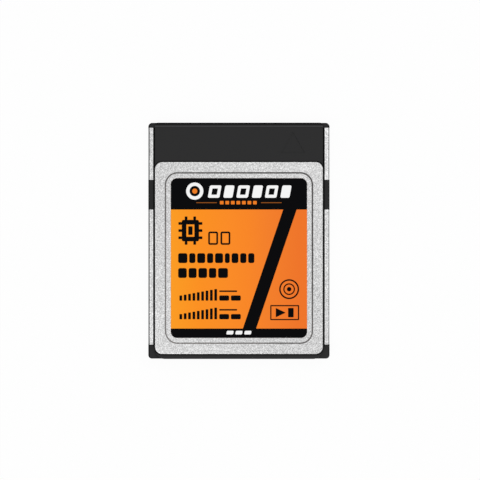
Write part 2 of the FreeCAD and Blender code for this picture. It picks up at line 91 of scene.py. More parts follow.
class Expr:
    """A number socket of a material, so that shader maths reads as an expression."""

    def __init__(self, shader: "Shader", socket: bpy.types.NodeSocket) -> None:
        """Wrap a socket.

        Args:
            shader: The material that the socket belongs to.
            socket: The socket with the number.
        """
        self.shader = shader
        self.socket = socket

    def _maths(self, operation: str, first: Value, second: Value) -> "Expr":
        """Return the result of one Math node.

        Args:
            operation: The node's operation.
            first: The first number.
            second: The second number.

        Returns:
            The node's output.
        """
        node = self.shader.node("ShaderNodeMath", {"operation": operation}, {0: first, 1: second})
        return Expr(self.shader, node.outputs[0])

    def __add__(self, other: Value) -> "Expr":
        """Return self + other."""
        return self._maths("ADD", self, other)

    def __radd__(self, other: Value) -> "Expr":
        """Return other + self."""
        return self._maths("ADD", other, self)

    def __sub__(self, other: Value) -> "Expr":
        """Return self - other."""
        return self._maths("SUBTRACT", self, other)

    def __rsub__(self, other: Value) -> "Expr":
        """Return other - self."""
        return self._maths("SUBTRACT", other, self)

    def __mul__(self, other: Value) -> "Expr":
        """Return self * other."""
        return self._maths("MULTIPLY", self, other)

    def __rmul__(self, other: Value) -> "Expr":
        """Return other * self."""
        return self._maths("MULTIPLY", other, self)

    def __truediv__(self, other: Value) -> "Expr":
        """Return self / other."""
        return self._maths("DIVIDE", self, other)

    def clamped(self) -> "Expr":
        """Return the number held between 0 and 1."""
        return self._maths("MINIMUM", self._maths("MAXIMUM", self, 0.0), 1.0)

    def above(self, limit: float) -> "Expr":
        """Return 1 where the number is over the limit and 0 elsewhere."""
        return self._maths("GREATER_THAN", self, limit)

    def size(self) -> "Expr":
        """Return the number without its sign."""
        return self._maths("ABSOLUTE", self, 0.0)

    def at_least(self, limit: Value) -> "Expr":
        """Return the larger of the number and a limit."""
        return self._maths("MAXIMUM", self, limit)

    def at_most(self, limit: Value) -> "Expr":
        """Return the smaller of the number and a limit."""
        return self._maths("MINIMUM", self, limit)

    def root(self) -> "Expr":
        """Return the square root."""
        return self._maths("SQRT", self, 0.0)

    def rising(self, start: float, end: float) -> "Expr":
        """Return 0 up to a start, 1 from an end on and a straight rise between.

        Args:
            start: Where the rise starts.
            end: Where it ends.

        Returns:
            The share from 0 to 1.
        """
        return ((self - start) / (end - start)).clamped()

    def near(self, middle: float, reach: float, soft: float) -> "Expr":
        """Return 1 near a value, fading to 0 away from it.

        Args:
            middle: The value.
            reach: Distance up to which the result is 1.
            soft: Length of the fade after that.

        Returns:
            The share from 0 to 1.
        """
        return 1.0 - (self - middle).size().rising(reach, reach + soft)


class Shader:
    """One material and the nodes in it."""

    def __init__(self, name: str) -> None:
        """Make an empty material.

        Args:
            name: The material's name.
        """
        self.material = bpy.data.materials.new(name)
        self.tree = self.emptied(self.material)

    @staticmethod
    def emptied(owner: Union[bpy.types.Material, bpy.types.World]) -> bpy.types.NodeTree:
        """Return the node tree of a material or world, with no node in it.

        Args:
            owner: The material or world.

        Returns:
            The tree.
        """
        owner.use_nodes = True
        owner.node_tree.nodes.clear()
        return owner.node_tree

    def node(self, kind: str, settings: Optional[dict[str, Any]] = None,
             inputs: Optional[dict[Any, Any]] = None) -> bpy.types.Node:
        """Add a node, set it, then fill or link its sockets.

        Args:
            kind: The node's type.
            settings: Its properties; the key stops gives the stops of a ramp as (place, colour) pairs.
            inputs: Values, Expr objects or sockets by input name or number.

        Returns:
            The node.
        """
        made = self.tree.nodes.new(kind)
        for name, value in (settings or {}).items():
            if name == "stops":
                self._set_stops(made.color_ramp, value)
            else:
                setattr(made, name, value)
        for name, value in (inputs or {}).items():
            self._fill(made.inputs[name], value)
        return made

    def _set_stops(self, ramp: bpy.types.ColorRamp, stops: Sequence[tuple[float, Colour]]) -> None:
        """Set a ramp's stops.

        Args:
            ramp: The ramp.
            stops: Place and colour of each stop, in order.
        """
        while len(ramp.elements) < len(stops):
            ramp.elements.new(0.5)
        for element, (place, colour) in zip(ramp.elements, stops):
            element.position = place
            element.color = (*colour, 1.0)

    def _fill(self, socket: bpy.types.NodeSocket, value: Any) -> None:
        """Link or set one input socket.

        Args:
            socket: The input.
            value: An Expr, a socket, a number or a colour.
        """
        if isinstance(value, Expr):
            self.tree.links.new(value.socket, socket)
        elif isinstance(value, bpy.types.NodeSocket):
            self.tree.links.new(value, socket)
        elif isinstance(value, tuple) and socket.type == "RGBA":
            socket.default_value = (*value, 1.0)
        else:
            socket.default_value = value

    def place(self, axis: str) -> Expr:
        """Return a coordinate of the surface point, in millimetres.

        Args:
            axis: X, Y or Z.

        Returns:
            The coordinate.
        """
        coordinates = self.node("ShaderNodeTexCoord")
        parts = self.node("ShaderNodeSeparateXYZ", inputs={0: coordinates.outputs["Object"]})
        return Expr(self, parts.outputs[axis]) / MM

    def rim(self, half: float, low: float, high: float, radius: float) -> Expr:
        """Return the distance outside a round-cornered rectangle, below 0 inside it, in millimetres.

        Args:
            half: Half width of the rectangle, which lies evenly about the middle.
            low: Its lower end along Y.
            high: Its upper end along Y.
            radius: Its corner radius.

        Returns:
            The distance.
        """
        across = self.place("X").size() - (half - radius)
        along = (self.place("Y") - (low + high) / 2).size() - ((high - low) / 2 - radius)
        corner_x, corner_y = across.at_least(0.0), along.at_least(0.0)
        corner = (corner_x * corner_x + corner_y * corner_y).root()
        return corner + across.at_least(along).at_most(0.0) - radius

    def noise(self, grain: float, detail: float = 2.0, roughness: float = 0.5,
              stretch: tuple[float, float, float] = (1.0, 1.0, 1.0)) -> Expr:
        """Return smooth noise from 0 to 1.

        Args:
            grain: Size of one speck in millimetres.
            detail: Number of finer layers.
            roughness: Strength of the finer layers.
            stretch: How much longer a speck is along each axis.

        Returns:
            The noise.
        """
        coordinates = self.node("ShaderNodeTexCoord")
        scale = tuple(1 / (grain * MM * length) for length in stretch)
        mapped = self.node("ShaderNodeMapping", inputs={"Vector": coordinates.outputs["Object"],
                                                        "Scale": scale})
        made = self.node("ShaderNodeTexNoise", inputs={
            "Vector": mapped.outputs[0], "Scale": 1.0, "Detail": detail, "Roughness": roughness})
        return Expr(self, made.outputs[0])

    def cells(self, grain: float) -> Expr:
        """Return the distance to the nearest cell centre, for a pebbled surface.

        Args:
            grain: Size of one cell in millimetres.

        Returns:
            The distance as a share of a cell.
        """
        coordinates = self.node("ShaderNodeTexCoord")
        made = self.node("ShaderNodeTexVoronoi", {"feature": "SMOOTH_F1"}, {
            "Vector": coordinates.outputs["Object"], "Scale": 1 / (grain * MM), "Smoothness": 0.6})
        return Expr(self, made.outputs["Distance"])

    def mix(self, share: Value, first: Any, second: Any) -> bpy.types.NodeSocket:
        """Return a blend of two colours.

        Args:
            share: Share of the second colour.
            first: Colour or socket at share 0.
            second: Colour or socket at share 1.

        Returns:
            The colour socket.
        """
        made = self.node("ShaderNodeMix", {"data_type": "RGBA"})
        self._fill(made.inputs["Factor"], share)
        self._fill(made.inputs[6], first)
        self._fill(made.inputs[7], second)
        return made.outputs[2]

    def shaded(self, tone: Value, colour: Any) -> bpy.types.NodeSocket:
        """Return a colour darkened to a share of itself.

        Args:
            tone: Share of the colour that is left, from 0 to 1.
            colour: Colour or socket at share 1.

        Returns:
            The colour socket.
        """
        return self.mix(tone, (0.0, 0.0, 0.0), colour)

    def bump(self, height: Expr, depth: float, strength: float = 1.0) -> bpy.types.NodeSocket:
        """Return a normal bent by a height.

        Args:
            height: Height from 0 to 1.
            depth: Depth in millimetres.
            strength: Strength from 0 to 1.

        Returns:
            The normal socket.
        """
        made = self.node("ShaderNodeBump", inputs={
            "Strength": strength, "Distance": depth * MM, "Height": height})
        return made.outputs[0]

    def surface(self, **inputs: Any) -> bpy.types.Material:
        """Add the surface shader and its output.

        Args:
            **inputs: Socket values, named in lower case with underscores for spaces.

        Returns:
            The finished material.
        """
        named = {name.replace("_", " ").title().replace("Ior", "IOR"): value
                 for name, value in inputs.items()}
        body = self.node("ShaderNodeBsdfPrincipled", inputs=named)
        self.node("ShaderNodeOutputMaterial", inputs={"Surface": body.outputs[0]})
        return self.material


class Surround(Shader):
    """The world round the card and the nodes in it."""

    def __init__(self, name: str) -> None:
        """Make an empty world.

        Args:
            name: The world's name.
        """
        self.world = bpy.data.worlds.new(name)
        self.tree = self.emptied(self.world)


@dataclass(frozen=True)
class Line:
    """A paler or darker line across a finish, in millimetres, such as a painted highlight or a painted shade
    line.

    Its strength is the tone that it adds, so a dark line's is below 0.
    """

    middle: float
    reach: float
    soft: float
    strength: float

    def on(self, place: Expr) -> Expr:
        """Return the tone that the line adds at a coordinate."""
        return place.near(self.middle, self.reach, self.soft) * self.strength


class Sheen(Enum):
    """How shiny a moulding or print is: roughness, then how much light it throws back."""

    MATTE = (0.62, 0.08)
    SATIN = (0.45, 0.35)
    INK = (0.5, 0.02)


@dataclass(frozen=True)
class Moulding:
    """A moulded plastic with a fine eroded grain."""

    colour: Colour
    sheen: Sheen = Sheen.MATTE
    grain: float = 0.12
    depth: float = 0.004

    def material(self, name: str) -> bpy.types.Material:
        """Return the finish as a material.

        Args:
            name: The material's name.

        Returns:
            The material.
        """
        shader = Shader(name)
        roughness, level = self.sheen.value
        grain = shader.noise(self.grain, 3.0, 0.6)
        cloud = shader.noise(self.grain * 40, 2.0)
        pale = tuple(min(1.0, part * 1.5 + 0.002) for part in self.colour)
        share = (grain * 0.5 + cloud * 0.3 - 0.15).clamped()
        return shader.surface(
            base_color=shader.mix(share, self.colour, pale),
            roughness=roughness + (grain - 0.5) * 0.2,
            specular_ior_level=level,
            normal=shader.bump(grain, self.depth, 0.6))


@dataclass(frozen=True)
class CaseMoulding(Moulding):
    """The frame's moulding, with painted shade in its gaps and along its outer edge and a painted highlight
    on the bevel's crest.

    Distances named back are measured from the card's front end, in millimetres.
    """

    plain: float = 0.42
    block_levels: Span = (3.2, 3.3)
    # Painted shade along the front rim of the raised block.
    rim_back: Span = (0.28, 0.42)
    rim_shade_depth: float = 0.39
    # Painted light on the bevel's slope, a painted highlight on its crest and a painted shade line at its
    # foot.
    bevel_back: tuple[Span, Span] = ((0.3, 0.46), (0.52, 0.6))
    bevel_painted_light: float = 0.08
    crest: Line = Line(0.64, 0.05, 0.07, 0.42)
    foot: Line = Line(0.82, 0.03, 0.06, -0.1)
    # Painted shade in the gap round the top cover.
    cover_corner: float = 1.2
    cover_gap: float = 0.14
    gap_soft: float = 0.03
    # Painted shade in the grooves beside the raised block.
    groove: Span = (13.69, 13.97)
    groove_soft: float = 0.02
    groove_levels: Span = (3.66, 3.69)
    groove_back: tuple[Span, Span] = ((0.78, 0.84), (36.5, 36.6))
    # Painted shade along the outer edge, with less of it on the right.
    outer_corner: float = 0.62
    edge_inset: Span = (-0.26, -0.14)
    edge_levels: Span = (2.7, 2.8)
    edge_rear: Span = (-18.9, -18.7)
    edge_shade_depth: float = 0.85
    right_shade_relief: float = 0.6
    relief_back: Span = (0.8, 1.0)

    def material(self, name: str) -> bpy.types.Material:
        """Return the finish as a material.

        Args:
            name: The material's name.

        Returns:
            The material.
        """
        shader = Shader(name)
        roughness, level = self.sheen.value
        grain = shader.noise(self.grain, 3.0, 0.6)
        cloud = shader.noise(self.grain * 40, 2.0)
        # The tone holds the painted light and shade, with a little grain.
        tone = self.tone(shader) * (0.94 + grain * 0.08 + cloud * 0.04)
        return shader.surface(
            base_color=shader.shaded(tone, self.colour),
            roughness=roughness + (grain - 0.5) * 0.2,
            specular_ior_level=level,
            normal=shader.bump(grain, self.depth, 0.6))

    def tone(self, shader: Shader) -> Expr:
        """Return how pale the moulding is at each place, with its painted light and shade.

        Args:
            shader: The material.

        Returns:
            The share of the palest colour.
        """
        back = cad_high.y / MM - shader.place("Y")
        shades = self.cover_shade(shader).at_least(self.groove_shade(shader, back))
        # Painted shade of the gap round the cover, the grooves and the outer edge.
        dark = shades.at_least(self.edge_shade(shader, back))
        return (self.plain + self.front_painted_light(shader, back)) * (1.0 - dark)

    def front_painted_light(self, shader: Shader, back: Expr) -> Expr:
        """Return the painted light and shade of the front bevel: painted shade on the rim, painted light on
        the slope, a painted highlight on the crest and a painted shade line at the foot.

        Args:
            shader: The material.
            back: Distance from the front end.

        Returns:
            The tone to add.
        """
        raised = shader.place("Z").rising(*self.block_levels)
        start, end = self.bevel_back
        # Painted light on the bevel's slope.
        bevel = back.rising(*start) * (1.0 - back.rising(*end)) * self.bevel_painted_light
        # Painted shade along the front rim.
        rim = (1.0 - back.rising(*self.rim_back)) * self.rim_shade_depth
        # The crest line is a painted highlight and the foot line is a painted shade line.
        return raised * (bevel + self.crest.on(back) + self.foot.on(back) - rim)

    def cover_shade(self, shader: Shader) -> Expr:
        """Return the painted shade in the gap round the top cover.

        Args:
            shader: The material.

        Returns:
            The share of the tone that is lost.
        """
        low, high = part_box("top_cover")
        outline = shader.rim(high.x / MM, low.y / MM, high.y / MM, self.cover_corner)
        # Painted shade along the gap.
        return outline.near(self.cover_gap / 2, self.cover_gap / 2, self.gap_soft)

    def groove_shade(self, shader: Shader, back: Expr) -> Expr:
        """Return the painted shade in the grooves beside the raised block.

        Args:
            shader: The material.
            back: Distance from the front end.

        Returns:
            The share of the tone that is lost.
        """
        middle = (self.groove[0] + self.groove[1]) / 2
        across = shader.place("X").size().near(middle, self.groove[1] - middle, self.groove_soft)
        sunk = 1.0 - shader.place("Z").rising(*self.groove_levels)
        start, end = self.groove_back
        # Painted shade in the grooves.
        return across * sunk * back.rising(*start) * (1.0 - back.rising(*end))

    def edge_shade(self, shader: Shader, back: Expr) -> Expr:
        """Return the painted shade along the outer edge, less of it on the right than on the left.

        Args:
            shader: The material.
            back: Distance from the front end.

        Returns:
            The share of the tone that is lost.
        """
        outline = shader.rim(cad_high.x / MM, cad_low.y / MM, cad_high.y / MM, self.outer_corner)
        # Painted shade along the outer edge.
        edge = outline.rising(*self.edge_inset) * shader.place("Y").rising(*self.edge_rear)
        # Less painted shade on the right.
        relief = shader.place("X").above(0.0) * self.right_shade_relief * back.rising(*self.relief_back)
        return edge * (self.edge_shade_depth - relief) * shader.place("Z").rising(*self.edge_levels)


@dataclass(frozen=True)
class PressedMetal:
    """Bare sheet metal with a fine pebbled surface."""

    colour: Colour = srgb(187, 187, 187)
    plain: float = 0.85
    pebble: float = 0.16
    dark_share: float = 0.55
    pale_share: float = 1.42
    grain_weight: float = 2.2
    pebble_weight: float = 1.3
    cloud_weight: float = 0.1
    depth: float = 0.012
    roughness: float = 0.42

    def material(self, name: str) -> bpy.types.Material:
        """Return the finish as a material.

        Args:
            name: The material's name.

        Returns:
            The material.
        """
        shader = Shader(name)
        pebble = shader.cells(self.pebble)
        grain = shader.noise(self.pebble * 0.8, 2.0, 0.6)
        cloud = shader.noise(self.pebble * 14, 2.0)
        height = pebble * 0.6 + grain * 0.7
        dark = tuple(part * self.dark_share for part in self.colour)
        pale = tuple(min(1.0, part * self.pale_share) for part in self.colour)
        specks = (grain - 0.5) * self.grain_weight + (pebble - 0.45) * self.pebble_weight
        share = (specks + (cloud - 0.5) * self.cloud_weight + 0.5).clamped()
        return shader.surface(
            base_color=shader.shaded(self.tone(shader), shader.mix(share, dark, pale)),
            metallic=1.0,
            roughness=self.roughness + (grain - 0.5) * 0.16,
            normal=shader.bump(height, self.depth, 0.55))

    def tone(self, shader: Shader) -> Value:
        """Return how pale the sheet is at each place.

        Args:
            shader: The material.

        Returns:
            The share of the palest colour.
        """
        return self.plain


@dataclass(frozen=True)
class CoverSheet(PressedMetal):
    """The top cover's sheet: a painted highlight along its rim, painted shade on its outermost edge and a
    painted shade line down the slope round its sunk field.
    """

    corner: float = 1.2
    # Painted highlight along the rim.
    rim_highlight: Line = Line(-0.14, 0.04, 0.08, 0.13)
    # Painted shade on the outermost edge.
    edge_inset: Span = (-0.08, -0.03)
    edge_shade_depth: float = 0.8
    label_margin: float = 0.8
    field_corner: float = 1.9
    # Painted shade line down the slope round the sunk field.
    slope: float = 0.14
    slope_soft: float = 0.06
    slope_shade_depth: Span = (0.38, 0.74)

    def tone(self, shader: Shader) -> Value:
        """Return how pale the sheet is at each place, with its painted highlight and shade.

        Args:
            shader: The material.

        Returns:
            The share of the palest colour.
        """
        low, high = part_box("top_cover")
        rim = shader.rim(high.x / MM, low.y / MM, high.y / MM, self.corner)
        # The painted highlight is stronger on the left.
        left = (0.6 - shader.place("X") / 20).clamped()
        bright = self.rim_highlight.on(rim) * left
        # Painted shade on the outermost edge.
        edge = rim.rising(*self.edge_inset) * self.edge_shade_depth
        return (self.plain + bright) * (1.0 - edge) * (1.0 - self.slope_shade(shader))

    def slope_shade(self, shader: Shader) -> Expr:
        """Return the painted shade on the slope round the sunk field, deeper towards the front right corner.

        Args:
            shader: The material.

        Returns:
            The share of the tone that is lost.
        """
        low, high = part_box("label")
        field_rim = shader.rim(high.x / MM + self.label_margin, low.y / MM - self.label_margin,
                               high.y / MM + self.label_margin, self.field_corner)
        # Painted shade line down the slope.
        line = field_rim.near(self.slope / 2, self.slope * 0.7, self.slope_soft)
        # The painted shade deepens towards the front right corner.
        far = (shader.place("X") / 26 + (shader.place("Y") + 3.0) / 30 + 0.5).clamped()
        least, most = self.slope_shade_depth
        return line * (far * (most - least) + least)


@dataclass(frozen=True)
class FoldedSheet(PressedMetal):
    """The bottom cover's sheet: painted light on the rail strips, painted shade on their outer bend, deeper
    on the left, painted shade along their inner edge and a faint darker line along their middle.
    """

    strip: Span = (14.0, 14.58)
    strip_levels: Span = (2.6, 2.7)
    # Painted light on the strips' tops.
    strip_painted_light: float = 0.13
    bend_soft: float = 0.04
    # Painted shade on the outer bend, deeper on the left.
    bend_shade_depth: Span = (0.08, 0.68)
    middle_line: Line = Line(14.3, 0.03, 0.06, -0.14)
    # Painted shade along the strips' inner edge, beside the raised block.
    inner_fade: float = 0.05
    inner_shade_depth: float = 0.7

    def tone(self, shader: Shader) -> Value:
        """Return how pale the sheet is at each place, with the painted light and shade of its rail strips.

        Args:
            shader: The material.

        Returns:
            The share of the palest colour.
        """
        side = shader.place("X").size()
        top = shader.place("Z").rising(*self.strip_levels)
        left = 1.0 - shader.place("X").above(0.0)
        inner_edge, outer_edge = self.strip
        least, most = self.bend_shade_depth
        # Painted shade on the outer bend, deeper on the left than on the right.
        bend = side.rising(outer_edge - self.bend_soft, outer_edge + self.bend_soft)
        bend = bend * (left * (most - least) + least)
        # Painted shade along the inner edge.
        inner = (1.0 - side.rising(inner_edge, inner_edge + self.inner_fade)) * self.inner_shade_depth
        # Painted light on the strips' tops.
        return self.plain + top * (self.strip_painted_light - bend + self.middle_line.on(side) - inner)


@dataclass(frozen=True)
class PlatedMetal:
    """A plated contact or lid with faint drawing lines."""

    colour: Colour
    roughness: float = 0.24

    def material(self, name: str) -> bpy.types.Material:
        """Return the finish as a material.

        Args:
            name: The material's name.

        Returns:
            The material.
        """
        shader = Shader(name)
        lines = shader.noise(0.05, 2.0, 0.5, (1.0, 12.0, 1.0))
        tarnish = shader.noise(0.9, 3.0)
        dark = tuple(part * 0.82 for part in self.colour)
        return shader.surface(
            base_color=shader.mix(tarnish, dark, self.colour),
            metallic=1.0,
            roughness=self.roughness + (lines - 0.5) * 0.2,
            normal=shader.bump(lines, 0.003, 0.4))


@dataclass(frozen=True)
class Ink:
    """A printed colour on the label."""

    colour: Colour
    sheen: Sheen = Sheen.INK

    def material(self, name: str) -> bpy.types.Material:
        """Return the finish as a material.

        Args:
            name: The material's name.

        Returns:
            The material.
        """
        shader = Shader(name)
        roughness, level = self.sheen.value
        dots = shader.noise(0.09, 2.0)
        dull = tuple(part * 0.93 for part in self.colour)
        return shader.surface(
            base_color=shader.mix(dots, dull, self.colour),
            roughness=roughness + (dots - 0.5) * 0.08,
            specular_ior_level=level,
            normal=shader.bump(dots, 0.001, 0.3))


@dataclass(frozen=True)
class OrangeField:
    """The label's field, which deepens from amber on the left to orange on the right."""

    stops: tuple[tuple[float, Colour], ...] = (
        (-10.7, srgb(255, 158, 33)), (-6.6, srgb(255, 147, 31)), (-1.5, srgb(254, 141, 36)),
        (1.5, srgb(252, 136, 37)), (4.6, srgb(247, 129, 41)), (9.7, srgb(242, 118, 40)))

    def material(self, name: str) -> bpy.types.Material:
        """Return the finish as a material.

        Args:
            name: The material's name.

        Returns:
            The material.
        """
        shader = Shader(name)
        first, last = self.stops[0][0], self.stops[-1][0]
        along = (shader.place("X") - first) / (last - first)
        stops = [((place - first) / (last - first), colour) for place, colour in self.stops]
        ramp = shader.node("ShaderNodeValToRGB", {"stops": stops}, {0: along.clamped()})
        dots = shader.noise(0.09, 2.0)
        fleck = shader.mix(dots, srgb(238, 120, 30), ramp.outputs[0])
        return shader.surface(
            base_color=shader.mix(0.93, fleck, ramp.outputs[0]),
            roughness=0.42 + (dots - 0.5) * 0.08,
            specular_ior_level=0.04,
            normal=shader.bump(dots, 0.001, 0.3))


@dataclass(frozen=True)
class SolderMask:
    """Green board lacquer over copper runs."""

    lacquer: Colour = (0.006, 0.06, 0.022)
    copper_run: Colour = (0.012, 0.11, 0.04)
    run_pitch: float = 0.5

    def material(self, name: str) -> bpy.types.Material:
        """Return the finish as a material.

        Args:
            name: The material's name.

        Returns:
            The material.
        """
        shader = Shader(name)
        wave = shader.node("ShaderNodeTexWave", {"bands_direction": "X"}, {
            "Vector": shader.node("ShaderNodeTexCoord").outputs["Object"],
            "Scale": 0.5 / (self.run_pitch * MM) / math.pi, "Distortion": 0.0})
        regions = shader.noise(5.0, 0.0).above(0.5)
        runs = Expr(shader, wave.outputs[1]).above(0.6) * regions
        weave = shader.noise(0.3, 2.0)
        return shader.surface(
            base_color=shader.mix(runs, self.lacquer, self.copper_run),
            roughness=0.3 + (weave - 0.5) * 0.15,
            normal=shader.bump(runs * 0.7 + weave * 0.3, 0.02, 0.5))


@dataclass(frozen=True)
class SpeckledCeramic:
    """Fired ceramic or pressed ferrite with a speckled body."""

    colour: Colour
    speck: Colour

    def material(self, name: str) -> bpy.types.Material:
        """Return the finish as a material.

        Args:
            name: The material's name.

        Returns:
            The material.
        """
        shader = Shader(name)
        specks = shader.noise(0.08, 3.0, 0.7)
        return shader.surface(
            base_color=shader.mix(specks, self.colour, self.speck),
            roughness=0.5 + (specks - 0.5) * 0.2,
            normal=shader.bump(specks, 0.006, 0.5))


@dataclass(frozen=True)
class SoftPad:
    """A soft grey pad filled with conducting powder."""

    colour: Colour = (0.32, 0.35, 0.4)

    def material(self, name: str) -> bpy.types.Material:
        """Return the finish as a material.

        Args:
            name: The material's name.

        Returns:
            The material.
        """
        shader = Shader(name)
        powder = shader.noise(0.15, 4.0, 0.7)
        dark = tuple(part * 0.75 for part in self.colour)
        return shader.surface(
            base_color=shader.mix(powder, dark, self.colour),
            roughness=0.85 + (powder - 0.5) * 0.1,
            specular_ior_level=0.2,
            normal=shader.bump(powder, 0.02, 0.6))


def dress(node: str, material: bpy.types.Material) -> None:
    """Give one carried-over piece its finish.

    Args:
        node: The piece's name.
        material: Its material.
    """
    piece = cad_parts[node]
    for holder in piece.material_slots:
        holder.material = material
    if not piece.material_slots:
        piece.data.materials.append(material)
    LOG.info("%s: %s", node, material.name)


@dataclass
class Casing:
    """The black frame and the two metal covers."""

    moulding: CaseMoulding = CaseMoulding((0.055, 0.055, 0.056))
    cover: CoverSheet = CoverSheet()
    back: FoldedSheet = FoldedSheet()

    def build(self) -> None:
        """Dress the frame and both covers."""
        dress("frame", self.moulding.material("black moulding"))
        dress("top_cover", self.cover.material("pebbled cover sheet"))
        dress("bottom_cover", self.back.material("pebbled back sheet"))


@dataclass
class Electronics:
    """The board, what is soldered to it and the pads against the covers."""

    mask: SolderMask = SolderMask()
    resin: Moulding = Moulding((0.012, 0.012, 0.013), Sheen.SATIN, 0.2, 0.006)
    ferrite: SpeckledCeramic = SpeckledCeramic((0.04, 0.04, 0.045), (0.1, 0.1, 0.11))
    ceramic: SpeckledCeramic = SpeckledCeramic((0.28, 0.17, 0.09), (0.36, 0.24, 0.14))
    lid: PlatedMetal = PlatedMetal((0.6, 0.6, 0.58))
    pad: SoftPad = SoftPad()

    def build(self) -> None:
        """Dress every inner piece."""
        dress("circuit_board", self.mask.material("solder mask"))
        resin = self.resin.material("package resin")
        for number in range(1, 5):
            dress(f"memory_package_{number}", resin)
        for node in ("controller_chip", "buffer_chip", "power_chip", "resistors"):
            dress(node, resin)
        dress("power_inductors", self.ferrite.material("pressed ferrite"))
        dress("crystal", self.lid.material("plated lid"))
        ceramic = self.ceramic.material("fired ceramic")
        dress("capacitors", ceramic)
        dress("bulk_capacitors", ceramic)
        pad = self.pad.material("heat pad")
        dress("thermal_pad_top", pad)
        dress("thermal_pad_bottom", pad)


@dataclass
class Connector:
    """The contact end: the moulded housing, the spring contacts and the solder straps."""

    moulding: Moulding = Moulding((0.012, 0.012, 0.013), Sheen.SATIN, 0.1, 0.003)
    gold: PlatedMetal = PlatedMetal((0.87, 0.6, 0.22), 0.36)
    tin: PlatedMetal = PlatedMetal((0.66, 0.66, 0.65), 0.35)

    def build(self) -> None:
        """Dress the connector's pieces."""
        dress("connector_housing", self.moulding.material("connector moulding"))
        gold = self.gold.material("gold plating")
        dress("signal_contacts", gold)
        dress("ground_contacts", gold)
        dress("connector_anchors", self.tin.material("tin plating"))


@dataclass(frozen=True)
class Shape:
    """A flat printed shape, in millimetres: an outline and, for a ring, a hole with as many points."""

    outer: tuple[Point, ...]
    hole: tuple[Point, ...] = ()


def arc(centre: Point, radius: float, start: float, end: float, steps: int) -> list[Point]:
    """Return points along an arc.

    Args:
        centre: The arc's centre.
        radius: Its radius.
        start: Start angle in degrees.
        end: End angle in degrees.
        steps: Number of spans.

    Returns:
        The points, both ends included.
    """
    angles = [math.radians(start + (end - start) * i / steps) for i in range(steps + 1)]
    return [(centre[0] + radius * math.cos(a), centre[1] + radius * math.sin(a)) for a in angles]


def rounded_outline(x0: float, x1: float, y0: float, y1: float, radius: float,
                    steps: int = 6, slant: float = 0.0) -> tuple[Point, ...]:
    """Return a rectangle's outline with round corners.

    Args:
        x0: Left side.
        x1: Right side.
        y0: Lower side.
        y1: Upper side.
        radius: Corner radius.
        steps: Spans in each corner.
        slant: How far the upper side is shifted right for each unit of height.

    Returns:
        The points, anticlockwise.
    """
    corners = (((x1 - radius, y0 + radius), 270), ((x1 - radius, y1 - radius), 0),
               ((x0 + radius, y1 - radius), 90), ((x0 + radius, y0 + radius), 180))
    points: list[Point] = []
    for centre, start in corners:
        points += arc(centre, radius, start, start + 90, steps)
    middle = (y0 + y1) / 2
    return tuple((x + (y - middle) * slant, y) for x, y in points)


def bar(x0: float, x1: float, y0: float, y1: float, radius: float = 0.1, slant: float = 0.0) -> Shape:
    """Return a solid bar with round corners.

    Args:
        x0: Left side.
        x1: Right side.
        y0: Lower side.
        y1: Upper side.
        radius: Corner radius.
        slant: How far the upper side is shifted right for each unit of height.

    Returns:
        The shape.
    """
    return Shape(rounded_outline(x0, x1, y0, y1, radius, 3, slant))


def box_line(x0: float, x1: float, y0: float, y1: float, radius: float, line: float) -> Shape:
    """Return the outline of a rectangle as a line of some width.

    Args:
        x0: Left side.
        x1: Right side.
        y0: Lower side.
        y1: Upper side.
        radius: Outer corner radius.
        line: Width of the line.

    Returns:
        The shape.
    """
    inner = rounded_outline(x0 + line, x1 - line, y0 + line, y1 - line, max(radius - line, 0.02), 4)
    return Shape(rounded_outline(x0, x1, y0, y1, radius, 4), inner)


def slanted_frame(x0: float, x1: float, y0: float, y1: float, line: float, slant: float) -> Shape:
    """Return a hollow slanted block with round corners.

    Args:
        x0: Left side at mid height.
        x1: Right side at mid height.
        y0: Lower side.
        y1: Upper side.
        line: Width of its line.
        slant: How far the upper side is shifted right for each unit of height.

    Returns:
        The shape.
    """
    inner = rounded_outline(x0 + line, x1 - line, y0 + line, y1 - line, 0.08, 4, slant)
    return Shape(rounded_outline(x0, x1, y0, y1, 0.25, 4, slant), inner)


def ring(centre: Point, radius: float, line: float, steps: int = 48) -> Shape:
    """Return a round line.

    Args:
        centre: The ring's centre.
        radius: Outer radius.
        line: Width of the line.
        steps: Spans round the ring.

    Returns:
        The shape.
    """
    outer = arc(centre, radius, 0, 360, steps)[:-1]
    inner = arc(centre, radius - line, 0, 360, steps)[:-1]
    return Shape(tuple(outer), tuple(inner))


def disc(centre: Point, radius: float, steps: int = 24) -> Shape:
    """Return a round dot.

    Args:
        centre: The dot's centre.
        radius: Its radius.
        steps: Spans round it.

    Returns:
        The shape.
    """
    return Shape(tuple(arc(centre, radius, 0, 360, steps)[:-1]))


def middles(start: float, end: float, count: int) -> list[float]:
    """Return the middle of each of some equal spans.

    Args:
        start: Where the first span starts.
        end: Where the last one ends.
        count: Number of spans.

    Returns:
        The middles, in order.
    """
    return [start + (i + 0.5) * (end - start) / count for i in range(count)]


def clipped(outline: Sequence[Point], normal: Point, limit: float) -> tuple[Point, ...]:
    """Return the part of a convex outline on the near side of a straight cut.

    Args:
        outline: The outline's points.
        normal: Direction across the cut.
        limit: Distance of the cut along the normal.

    Returns:
        The points that are left, with the cut's ends added.
    """
    kept: list[Point] = []
    for start, end in zip(outline, [*outline[1:], outline[0]]):
        first = start[0] * normal[0] + start[1] * normal[1] - limit
        second = end[0] * normal[0] + end[1] * normal[1] - limit
        if first <= 0:
            kept.append(start)
        if first * second < 0:
            share = first / (first - second)
            kept.append((start[0] + (end[0] - start[0]) * share, start[1] + (end[1] - start[1]) * share))
    return tuple(kept)


